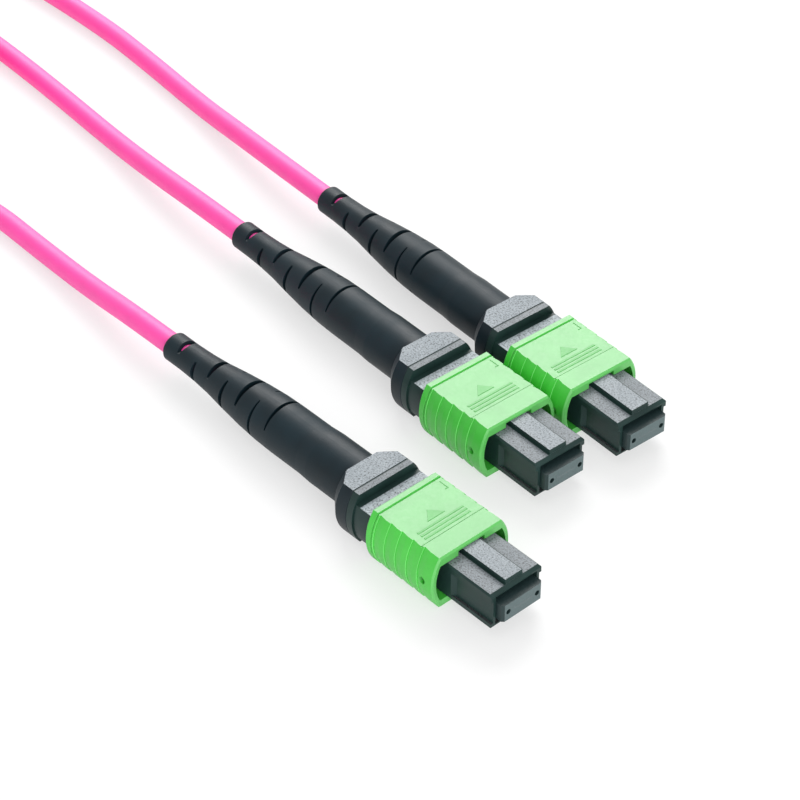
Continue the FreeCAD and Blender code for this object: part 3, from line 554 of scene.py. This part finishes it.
def raised(outlines, base, top, inset):
    """Outlines of shape (count, corners, 2) lifted from base to top, drawn in by inset towards their middles."""
    middles = (outlines.max(axis=1, keepdims=True) + outlines.min(axis=1, keepdims=True)) / 2
    reach = np.abs(outlines - middles).max(axis=1, keepdims=True)
    drawn = middles + (outlines - middles) * (1 - inset / reach)
    levels = [
        np.concatenate([shape, np.full((*shape.shape[:2], 1), height)], axis=2)
        for shape, height in ((outlines, base), (outlines, top - inset), (drawn, top))
    ]
    return np.stack(levels, axis=1)


def bars(rows):
    """Rectangles from rows of middle x, middle y, length along x and length along y."""
    rows = np.asarray(rows, float)
    corner = np.array([(-0.5, -0.5), (0.5, -0.5), (0.5, 0.5), (-0.5, 0.5)])
    return rows[:, None, :2] + corner * rows[:, None, 2:]


# Outlines of the marks in mm ahead of the sleeve's front and across it, how deep they start in the panel, and how far
# their tops are drawn in.
MARKS = {
    "arrow_head": np.array([[(-7.4, -0.25), (-5.75, -1.63), (-5.75, 1.13)]]),
    "arrow_bars": bars([(x, -0.25, 0.3, 7.3) for x in (-5.02, -4.42, -3.82)]),
    "corner_mark": bars([(-9.3, 4.3, 1.5, 0.12), (-8.6, 4.1, 0.12, 0.5)]),
}
MARK_ROOT, MARK_INSET = 0.03, 0.03


class CABLE_OT_marks(bpy.types.Operator):
    """Raised arrow head, cross bars and corner mark on each sleeve's panel, all low prisms with a drawn-in top."""

    bl_idname = "cable.marks"
    bl_label = "Raise the sleeve marks"

    def execute(self, context):
        size = context.scene.cable_marks
        base, top = size.panel_top - MARK_ROOT, size.panel_top + size.height
        for name in POSES:
            for label, outlines in MARKS.items():
                rings = raised(outlines, base, top, MARK_INSET)
                new_piece(
                    f"{name}_{label}", to_room(name, rings), capped_prisms(rings), bpy.data.materials["sleeve_mark"],
                    f"{name}_sleeve")
        return {"FINISHED"}


# Fibres in a ferrule, their pitch and radius in mm, how far their ends reach into it and stand proud of it.
FIBRES, FIBRE_PITCH, FIBRE_RADIUS = 12, 0.25, 0.0625
FIBRE_ROOT, FIBRE_PROUD = 0.05, 0.015


class CABLE_OT_fibre_ends(bpy.types.Operator):
    """Twelve polished fibre ends in a row across each ferrule: short round prisms a quarter millimetre apart."""

    bl_idname = "cable.fibre_ends"
    bl_label = "Set the fibre ends"

    def execute(self, context):
        across = FIBRE_PITCH * (np.arange(FIBRES) - (FIBRES - 1) / 2)
        turned = np.linspace(0, 2 * np.pi, 12, endpoint=False)
        ring = FIBRE_RADIUS * np.stack([np.cos(turned), np.sin(turned)], axis=-1)
        flat = ring[None, :, :] + np.stack([across, np.full(FIBRES, AXIS_HEIGHT)], axis=-1)[:, None, :]
        ends = (FERRULE_FACE - FIBRE_ROOT, FERRULE_FACE + FIBRE_PROUD)
        rings = np.stack([np.insert(flat, 0, x, axis=2) for x in ends], axis=1)
        for name in POSES:
            new_piece(
                f"{name}_fibre_ends", to_room(name, rings), capped_prisms(rings), bpy.data.materials["fibre_end"],
                f"{name}_float")
        return {"FINISHED"}


# Coils and straps

# Layers of cord in the inner and in the outer lane of each strap's coil, and the strap's yaw on it in degrees.
STRAPS = {"trunk_coil_strap": ((3, 3), 100.0), "leg_coil_strap": ((3, 2), 270.0)}
# Where on its turns a strap starts, ends past the second top and begins to lift over its start, in radians.
STRAP_START, STRAP_PAST, LAP_START, LAP_LENGTH = 0.3, 0.9, 5.4, 0.9
CORNER_STEPS, SECTION_POINTS = 9, 20
# Play below a strap, how much thinner than its nominal it is, and the width of the weave's map at each section point.
STRAP_PLAY, STRAP_SLACK, WEAVE_STEP = 0.06, 0.02, 0.8
STRAP_CREASE = math.radians(50)


def coil_middles(size):
    """Middle of the trunk's coil and of the legs' coil on the floor, in mm."""
    return (TRUNK_COIL_X, size.trunk_lane - 14.0), (LEG_COIL_X, size.leg_lane + 2.5)


def coil_lanes(size):
    """Inner and outer radius of the trunk's coil and of the legs' coil at the middle of the cord, in mm."""
    return (size.trunk_lane, size.trunk_lane), (size.leg_lane, size.leg_lane + size.diameter + LANE_GAP)


def strap_points(centre, lanes, layers, yaw, size, diameter):
    """A band wound a turn and a half round a coil's section: a thin rounded strip carried round arcs about the
    corner cords and the straight runs between them, lifted by one thickness where it lies over its own start."""
    cord, thick = diameter / 2, size.thickness
    low = thick + REST_GAP + cord
    tops = [low + (count - 1) * (diameter + LAYER_GAP) for count in layers]
    # the run over the top leans where the lanes differ in height
    lean = math.atan2(lanes[1] - lanes[0], tops[0] - tops[1]) if lanes[1] > lanes[0] else math.pi / 2
    ends = np.array([0, lean, math.pi, 1.5 * math.pi, 2 * math.pi, 2 * math.pi + lean, 3 * math.pi])
    angles = np.linspace(ends[:-1], ends[1:], CORNER_STEPS, axis=1)
    cells = np.repeat(np.arange(6)[:, None], CORNER_STEPS, axis=1) % 4
    middle_out = np.choose(cells, (lanes[1], lanes[0], lanes[0], lanes[1]))
    middle_up = np.choose(cells, (tops[1], tops[0], low, low))
    angles, middle_out, middle_up = angles.ravel(), middle_out.ravel(), middle_up.ravel()
    moved = np.abs(np.diff(angles)) + np.abs(np.diff(middle_out)) + np.abs(np.diff(middle_up)) > 1e-6
    used = np.append(True, moved) & (angles >= STRAP_START) & (angles <= 2 * math.pi + lean + STRAP_PAST)
    angles, middle_out, middle_up = angles[used], middle_out[used], middle_up[used]
    lap = np.clip((angles - LAP_START) / LAP_LENGTH, 0.0, 1.0)
    lift = thick * lap * lap * (3 - 2 * lap)
    # section of the strip: across the band and through its thickness, with rounded edges
    turned = np.linspace(0, 2 * math.pi, SECTION_POINTS, endpoint=False)
    side = np.sign(np.cos(turned)) * np.abs(np.cos(turned)) ** 0.3
    through = 0.5 + 0.5 * np.sign(np.sin(turned)) * np.abs(np.sin(turned)) ** 0.6
    reach = cord + STRAP_PLAY + lift[:, None] + (thick - STRAP_SLACK) * through[None, :]
    out = middle_out[:, None] + reach * np.cos(angles)[:, None]
    up = middle_up[:, None] + reach * np.sin(angles)[:, None]
    swing = np.radians(yaw - size.angle / 2 * side)[None, :]
    points = np.stack([centre[0] + out * np.cos(swing), centre[1] + out * np.sin(swing), up], axis=-1)
    run = np.append(0.0, np.cumsum(np.hypot(np.diff(out[:, 0]), np.diff(up[:, 0]))))
    flat = np.stack(np.broadcast_arrays(run[:, None], np.arange(SECTION_POINTS + 1) * WEAVE_STEP), axis=-1)
    return points, flat


class CABLE_OT_straps(bpy.types.Operator):
    """Winds a hook-and-loop strap round one side of each coil."""

    bl_idname = "cable.straps"
    bl_label = "Wind the straps"

    def execute(self, context):
        size, cords = context.scene.cable_straps, context.scene.cable_cords
        for (node, (layers, yaw)), middle, lanes in zip(STRAPS.items(), coil_middles(cords), coil_lanes(cords)):
            points, flat = strap_points(middle, lanes, layers, yaw, size, cords.diameter)
            rings = points[None]
            made = new_piece(
                node + "_band", rings, capped_prisms(rings), bpy.data.materials["strap_weave"], "root")
            steps, corners = points.shape[:2]
            row, column = np.divmod(np.arange((steps - 1) * corners), corners)
            rows = np.stack([row, row, row + 1, row + 1], axis=-1)
            columns = np.stack([column, column + 1, column + 1, column], axis=-1)
            caps = np.zeros((2 * corners, 2))
            sheet = made.data.uv_layers.new(name="band")
            sheet.data.foreach_set("uv", np.concatenate([flat[rows, columns].reshape(-1, 2), caps]).ravel())
            made.data.shade_smooth()
            made.data.set_sharp_from_angle(angle=STRAP_CREASE)
            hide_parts(node)
        return {"FINISHED"}


# Cords


def layer_height(turns, levels):
    """Height of a coil's turn in layers: level for most of a turn, then a smooth step up to the next."""
    whole = np.floor(turns)
    step = np.clip((turns - whole - 0.62) / 0.26, 0.0, 1.0)
    return np.minimum(whole + step * step * (3 - 2 * step), levels)


def lane_corners(centre, lane, angles, heights):
    """Corners of a polygon whose sides touch the lane, thirty degrees apart."""
    reach = lane / math.cos(math.radians(15))
    turned = np.radians(angles)
    heights = np.broadcast_to(heights, turned.shape)
    return np.stack([centre[0] + reach * np.cos(turned), centre[1] + reach * np.sin(turned), heights], axis=-1)


def trunk_route(size, radius, layer, lift):
    """The trunk cord: lead from its boot, a clockwise coil of three layers, tail into the splitter's front."""
    line, port, lane = size.splitter_y, size.port_height, size.trunk_lane
    centre = coil_middles(size)[0]
    front = SPLITTER_X + SPLITTER_HALF
    top = lift + 2 * layer
    lead = behind_boot("trunk", [
        (0, 0, AXIS_HEIGHT), (8.2, 0, AXIS_HEIGHT), (18.7, 0.75, 2.4), (31.2, 1.65, radius), (43.2, 2.1, radius),
        (53.2, 0.0, radius), (62.2, -5.2, radius), (71.2, -10.9, radius + 0.3), (79.7, -13.8, lift),
    ])
    step = np.arange(12 * 2 + 8)
    heights = lift + layer * layer_height((15 + 30 * step) / 360, 2)
    coil = lane_corners(centre, lane, 255 - 30 * step, heights)
    leave = lane_corners(centre, lane, np.array([15, -15]), top)
    turn_off = lane_corners(centre, lane + 1.2, np.array([-45]), top)
    tail = [
        (centre[0] + 5.2, line, top - 0.2), (centre[0] - 6, line, top - 0.9), (centre[0] - 15, line, port + 0.6),
        (front + GLAND_REACH + 2, line, port), (front - 2.5, line, port),
    ]
    return np.concatenate([lead, coil, leave, turn_off, tail])


def leg_routes(size, radius, layer, lift):
    """The legs, wound side by side in one counter-clockwise coil, then round to the splitter's two rear ports."""
    line, port = size.splitter_y, size.port_height
    lanes, centre = coil_lanes(size)[1], coil_middles(size)[1]
    rear = SPLITTER_X - SPLITTER_HALF
    starts = (
        [(0, 0, AXIS_HEIGHT), (8.2, 0, AXIS_HEIGHT), (20.7, 0.55, 2.9), (32.7, 1.75, radius + 0.1),
         (45.7, 2.55, radius), (60.7, 3.1, radius)],
        [(0, 0, AXIS_HEIGHT), (8.2, 0, AXIS_HEIGHT), (20.7, 0.9, 2.9), (32.7, 2.0, radius + 0.1),
         (45.7, 2.9, radius), (60.7, 3.4, radius)],
    )
    middles = (
        [(46, 27.9, radius), (29, 29.0, radius), (13, centre[1] + lanes[0] - 0.6, lift)],
        [(44, 42.0, radius), (28, 39.0, radius), (13, centre[1] + lanes[1] + 0.7, lift)],
    )
    routes = []
    for number, (start, middle, lane) in enumerate(zip(starts, middles, lanes)):
        level, side = 3 - number, 1 - 2 * number
        step = np.arange(12 * level - 1)
        heights = lift + layer * layer_height((15 + 30 * step) / 360, level)
        coil = lane_corners(centre, lane, 105 + 30 * step, heights)
        up = lift + level * layer
        port_y = line + size.port_spacing / 2 * side
        bend = 14.0 + lane - lanes[0]
        away = (centre[0] - lane + bend, port_y + bend)
        leave = lane_corners(centre, lane, np.array([75, 105, 135, 165]), np.array([up, up, up, up - 0.1]))
        fall = lane_corners(away, bend, np.array([195, 225, 255]), np.array([up - 2.4, port + 1.6, port + 0.2]))
        tail = [(rear - 3.5, port_y, port), (rear + 2.5, port_y, port)]
        lead = behind_boot(f"branch_{number + 1}", start)
        routes.append(np.concatenate([lead, np.array(middle) + (centre[0], 0, 0), coil, leave, fall, tail]))
    return routes


def nurbs_cord(name, points, diameter, material):
    """A quadratic NURBS tube: it touches the middle of each run between the points."""
    curve = bpy.data.curves.new(name, "CURVE")
    curve.dimensions = "3D"
    spline = curve.splines.new("NURBS")
    spline.points.add(len(points) - 1)
    spline.points.foreach_set("co", np.column_stack([points * MM, np.ones(len(points))]).ravel())
    spline.order_u = 3
    spline.use_endpoint_u = True
    spline.use_smooth = True
    curve.resolution_u = 8
    curve.bevel_depth = diameter / 2 * MM
    curve.bevel_resolution = 6
    curve.use_fill_caps = True
    curve.materials.append(material)
    made = bpy.data.objects.new(name, curve)
    bpy.context.collection.objects.link(made)
    return made


# Length of each cord in metres, the CAD nodes that it stands for and the pieces that are on it.
CORDS = {
    "trunk_cord": (0.45, ("trunk_lead", "trunk_coil", "trunk_tail"),
                   ("splitter_base", "splitter_cover", "splitter_trunk_gland", "trunk_coil_strap_band")),
    "leg_1_cord": (0.48, ("leg_1_lead", "leg_1_coil", "leg_1_tail"),
                   ("splitter_leg_1_gland", "leg_coil_strap_band")),
    "leg_2_cord": (0.44, ("leg_2_lead", "leg_2_coil", "leg_2_tail"), ("splitter_leg_2_gland",)),
}


class CABLE_OT_cords(bpy.types.Operator):
    """Lays the trunk cord and the two legs from their boots through the coils to the splitter."""

    bl_idname = "cable.cords"
    bl_label = "Lay the cords"

    def execute(self, context):
        size = context.scene.cable_cords
        radius, layer = size.diameter / 2, size.diameter + LAYER_GAP
        lift = context.scene.cable_straps.thickness + radius + REST_GAP
        routes = [trunk_route(size, radius, layer, lift), *leg_routes(size, radius, layer, lift)]
        for points, (name, (length, stands_for, carried)) in zip(routes, CORDS.items()):
            made = nurbs_cord(name, points, size.diameter, bpy.data.materials["jacket_pink"])
            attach(made, "root")
            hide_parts(*stands_for)
        return {"FINISHED"}


# Studio


def area_light(name, place, target, size, power):
    """A soft box of a given size that faces the target."""
    data = bpy.data.lights.new(name, "AREA")
    data.shape = "RECTANGLE"
    data.size, data.size_y = size
    data.energy = power
    made = bpy.data.objects.new(name, data)
    made.location = place
    made.rotation_mode = "QUATERNION"
    made.rotation_quaternion = (Vector(target) - Vector(place)).to_track_quat("-Z", "Y")
    bpy.context.collection.objects.link(made)


def seen_directly(tree):
    """One for rays from the camera and those that mirrors and glass send on."""
    path = tree.nodes.new("ShaderNodeLightPath")
    seen = path.outputs["Is Camera Ray"]
    for kind in ("Is Glossy Ray", "Is Transmission Ray"):
        either = tree.nodes.new("ShaderNodeMath")
        either.operation = "MAXIMUM"
        tree.links.new(seen, either.inputs[0])
        tree.links.new(path.outputs[kind], either.inputs[1])
        seen = either.outputs["Value"]
    return seen


def paper_floor(half):
    """A square sheet of pale paper at floor height, whose shadows are soft and light."""
    mesh = bpy.data.meshes.new("floor")
    across, along = np.meshgrid((-half, half), (-half, half))
    corners = np.column_stack([across.ravel(), along.ravel(), np.zeros(4)])
    mesh.from_pydata(corners.tolist(), [], [(0, 1, 3, 2)])
    paper = Finish("paper", 0.9, 0.0)
    paper.set("Base Color", (0.88, 0.88, 0.88, 1.0))
    # the part of the white that the shadow leaves
    white = paper.add("ShaderNodeEmission")
    blend = paper.add("ShaderNodeMixShader")
    share = paper.add("ShaderNodeMath", operation="MULTIPLY")
    share.inputs[1].default_value = 0.6
    paper.link(seen_directly(paper.tree), share.inputs[0])
    paper.link(share.outputs["Value"], blend.inputs["Fac"])
    paper.link(paper.shader.outputs["BSDF"], blend.inputs[1])
    paper.link(white.outputs["Emission"], blend.inputs[2])
    paper.link(blend.outputs["Shader"], paper.tree.nodes["Material Output"].inputs["Surface"])
    mesh.materials.append(paper.material)
    made = bpy.data.objects.new("floor", mesh)
    bpy.context.collection.objects.link(made)


def white_world(strength):
    """White to the camera, mirrors and glass; even light of the given strength to the rest."""
    world = bpy.data.worlds.new("studio")
    world.use_nodes = True
    tree = world.node_tree
    tree.nodes.clear()
    back = tree.nodes.new("ShaderNodeBackground")
    out = tree.nodes.new("ShaderNodeOutputWorld")
    level = tree.nodes.new("ShaderNodeMapRange")
    level.inputs["To Min"].default_value = strength
    level.inputs["To Max"].default_value = 1.0
    tree.links.new(seen_directly(tree), level.inputs["Value"])
    tree.links.new(level.outputs["Result"], back.inputs["Strength"])
    tree.links.new(back.outputs["Background"], out.inputs["Surface"])
    bpy.context.scene.world = world


class CABLE_OT_studio(bpy.types.Operator):
    """Paper floor, soft boxes and the camera at the photograph's angle."""

    bl_idname = "cable.studio"
    bl_label = "Set up the studio"

    def execute(self, context):
        scene = context.scene
        studio = scene.cable_studio
        scene.view_settings.view_transform = "Standard"
        target = Vector(studio.target) * MM
        turned, raised_by = math.radians(studio.azimuth), math.radians(studio.elevation)
        back = Vector((
            math.sin(turned) * math.cos(raised_by), -math.cos(turned) * math.cos(raised_by), math.sin(raised_by)))
        data = bpy.data.cameras.new("camera")
        data.lens = studio.lens
        data.sensor_width = 36.0
        data.clip_start, data.clip_end = 0.01, 20.0
        camera = bpy.data.objects.new("camera", data)
        camera.location = target + back * studio.distance * MM
        camera.rotation_mode = "QUATERNION"
        camera.rotation_quaternion = (-back).to_track_quat("-Z", "Y")
        context.collection.objects.link(camera)
        scene.camera = camera
        paper_floor(half=3.0)
        white_world(studio.sky)
        mirrored = Vector((-back.x, -back.y, back.z))
        # place from the target and size in metres, power in watts
        boxes = {
            "back_box": (mirrored * 0.9, (0.6, 0.5), studio.glare),
            "top_box": (Vector((0.1, 0.1, 1.0)), (1.0, 1.0), studio.fill),
            "end_box": (Vector((0.85, -0.45, 0.4)), (0.7, 0.6), studio.ends),
        }
        for name, (away, size, power) in boxes.items():
            area_light(name, target + away, target, size, power)
        return {"FINISHED"}


SETTINGS = {
    "cable_cords": CordSettings, "cable_straps": StrapSettings, "cable_marks": MarkSettings,
    "cable_finish": FinishSettings, "cable_studio": StudioSettings,
}
STEPS = (
    CABLE_OT_finishes, CABLE_OT_springs, CABLE_OT_straps, CABLE_OT_cords, CABLE_OT_marks, CABLE_OT_fibre_ends,
    CABLE_OT_studio,
)


class CABLE_PT_panel(bpy.types.Panel):
    """The cable's steps and settings."""

    bl_label = "Breakout cable"
    bl_idname = "CABLE_PT_panel"
    bl_space_type = "VIEW_3D"
    bl_region_type = "UI"
    bl_category = "Cable"

    def draw(self, context):
        for step in STEPS:
            self.layout.operator(step.bl_idname)
        for name, group in SETTINGS.items():
            box = self.layout.box()
            for size in group.__annotations__:
                box.prop(getattr(context.scene, name), size)


CLASSES = (*SETTINGS.values(), *STEPS, CABLE_PT_panel)


def register():
    for made in CLASSES:
        bpy.utils.register_class(made)
    for name, group in SETTINGS.items():
        setattr(bpy.types.Scene, name, bpy.props.PointerProperty(type=group))


def unregister():
    for name in SETTINGS:
        delattr(bpy.types.Scene, name)
    for made in reversed(CLASSES):
        bpy.utils.unregister_class(made)


def main():
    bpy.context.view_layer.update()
    register()
    for step in ("finishes", "springs", "straps", "cords", "marks", "fibre_ends", "studio"):
        getattr(bpy.ops.cable, step)()


if __name__ == "__main__":
    main()
